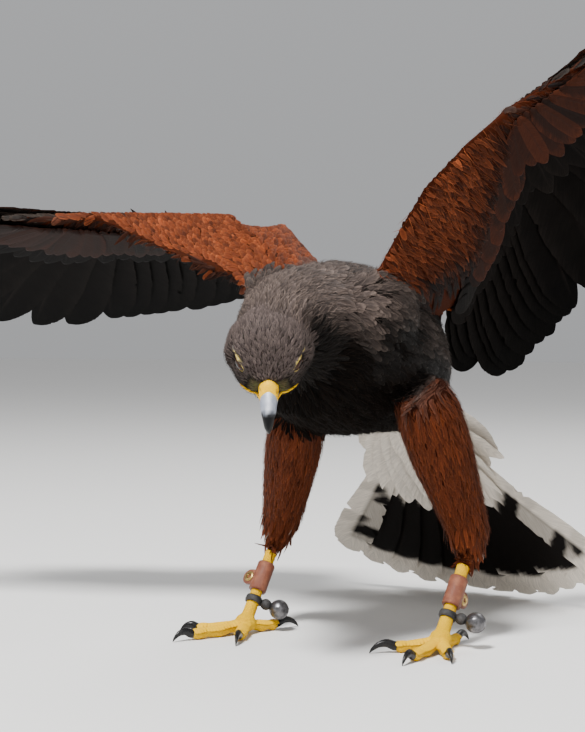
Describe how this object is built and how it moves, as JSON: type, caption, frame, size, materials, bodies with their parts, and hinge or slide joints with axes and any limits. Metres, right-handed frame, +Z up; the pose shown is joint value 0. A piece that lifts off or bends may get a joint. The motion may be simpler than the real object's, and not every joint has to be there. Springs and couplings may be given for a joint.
{
  "type": "harris hawk",
  "caption": "Life-size still model of a Harris's hawk braking to land: wings raised, tail fanned to the floor, head bowed, with leather anklets and bells on its legs",
  "frame": {"origin": "on the floor at the middle of the bounding box, with the soles of both feet and the tips of the middle tail feathers on Z = 0", "axes": "+X to the hawk's left, along its wing span; -Y the way the hawk's body faces; +Z up"},
  "size_m": [0.8905, 0.4581, 0.5216],
  "materials": {
    "dark_feathers": "slate brown feathers with paler brown edges, matt",
    "rufous_feathers": "chestnut feathers of the shoulders, wing linings and thighs, matt",
    "flight_feathers": "blackish brown flight feathers, dull gloss",
    "tail_feathers": "creamy white at the root and tip with a broad black band, matt",
    "yellow_skin": "yellow scaly skin, waxy",
    "horn": "blue-grey horn with a black tip, polished",
    "claw": "black horn, polished",
    "eye": "dark brown, wet gloss",
    "anklet_leather": "reddish-brown leather",
    "strap_leather": "black leather",
    "eyelet_brass": "brass",
    "bell_steel": "dark grey bell metal, semi-gloss"
  },
  "bodies": {
    "root": {"torso": "dark_feathers", "neck": "dark_feathers", "head": "dark_feathers", "eye_left": "eye", "eye_right": "eye", "cere": "yellow_skin", "bill_upper": "horn", "bill_lower": "horn", "wing_left_upper_arm": "rufous_feathers", "wing_left_forearm": "flight_feathers", "wing_left_hand": "flight_feathers", "leg_left_thigh": "rufous_feathers", "leg_left_tarsus": "yellow_skin", "claw_left_inner": "claw", "claw_left_middle": "claw", "claw_left_outer": "claw", "claw_left_hind": "claw", "foot_left": "yellow_skin", "anklet_left": "anklet_leather", "eyelet_left": "eyelet_brass", "bell_strap_left": "strap_leather", "bell_left": "bell_steel", "wing_right_upper_arm": "rufous_feathers", "wing_right_forearm": "flight_feathers", "wing_right_hand": "flight_feathers", "leg_right_thigh": "rufous_feathers", "leg_right_tarsus": "yellow_skin", "claw_right_inner": "claw", "claw_right_middle": "claw", "claw_right_outer": "claw", "claw_right_hind": "claw", "foot_right": "yellow_skin", "anklet_right": "anklet_leather", "eyelet_right": "eyelet_brass", "bell_strap_right": "strap_leather", "bell_right": "bell_steel", "tail": "tail_feathers"}
  },
  "joints": []
}
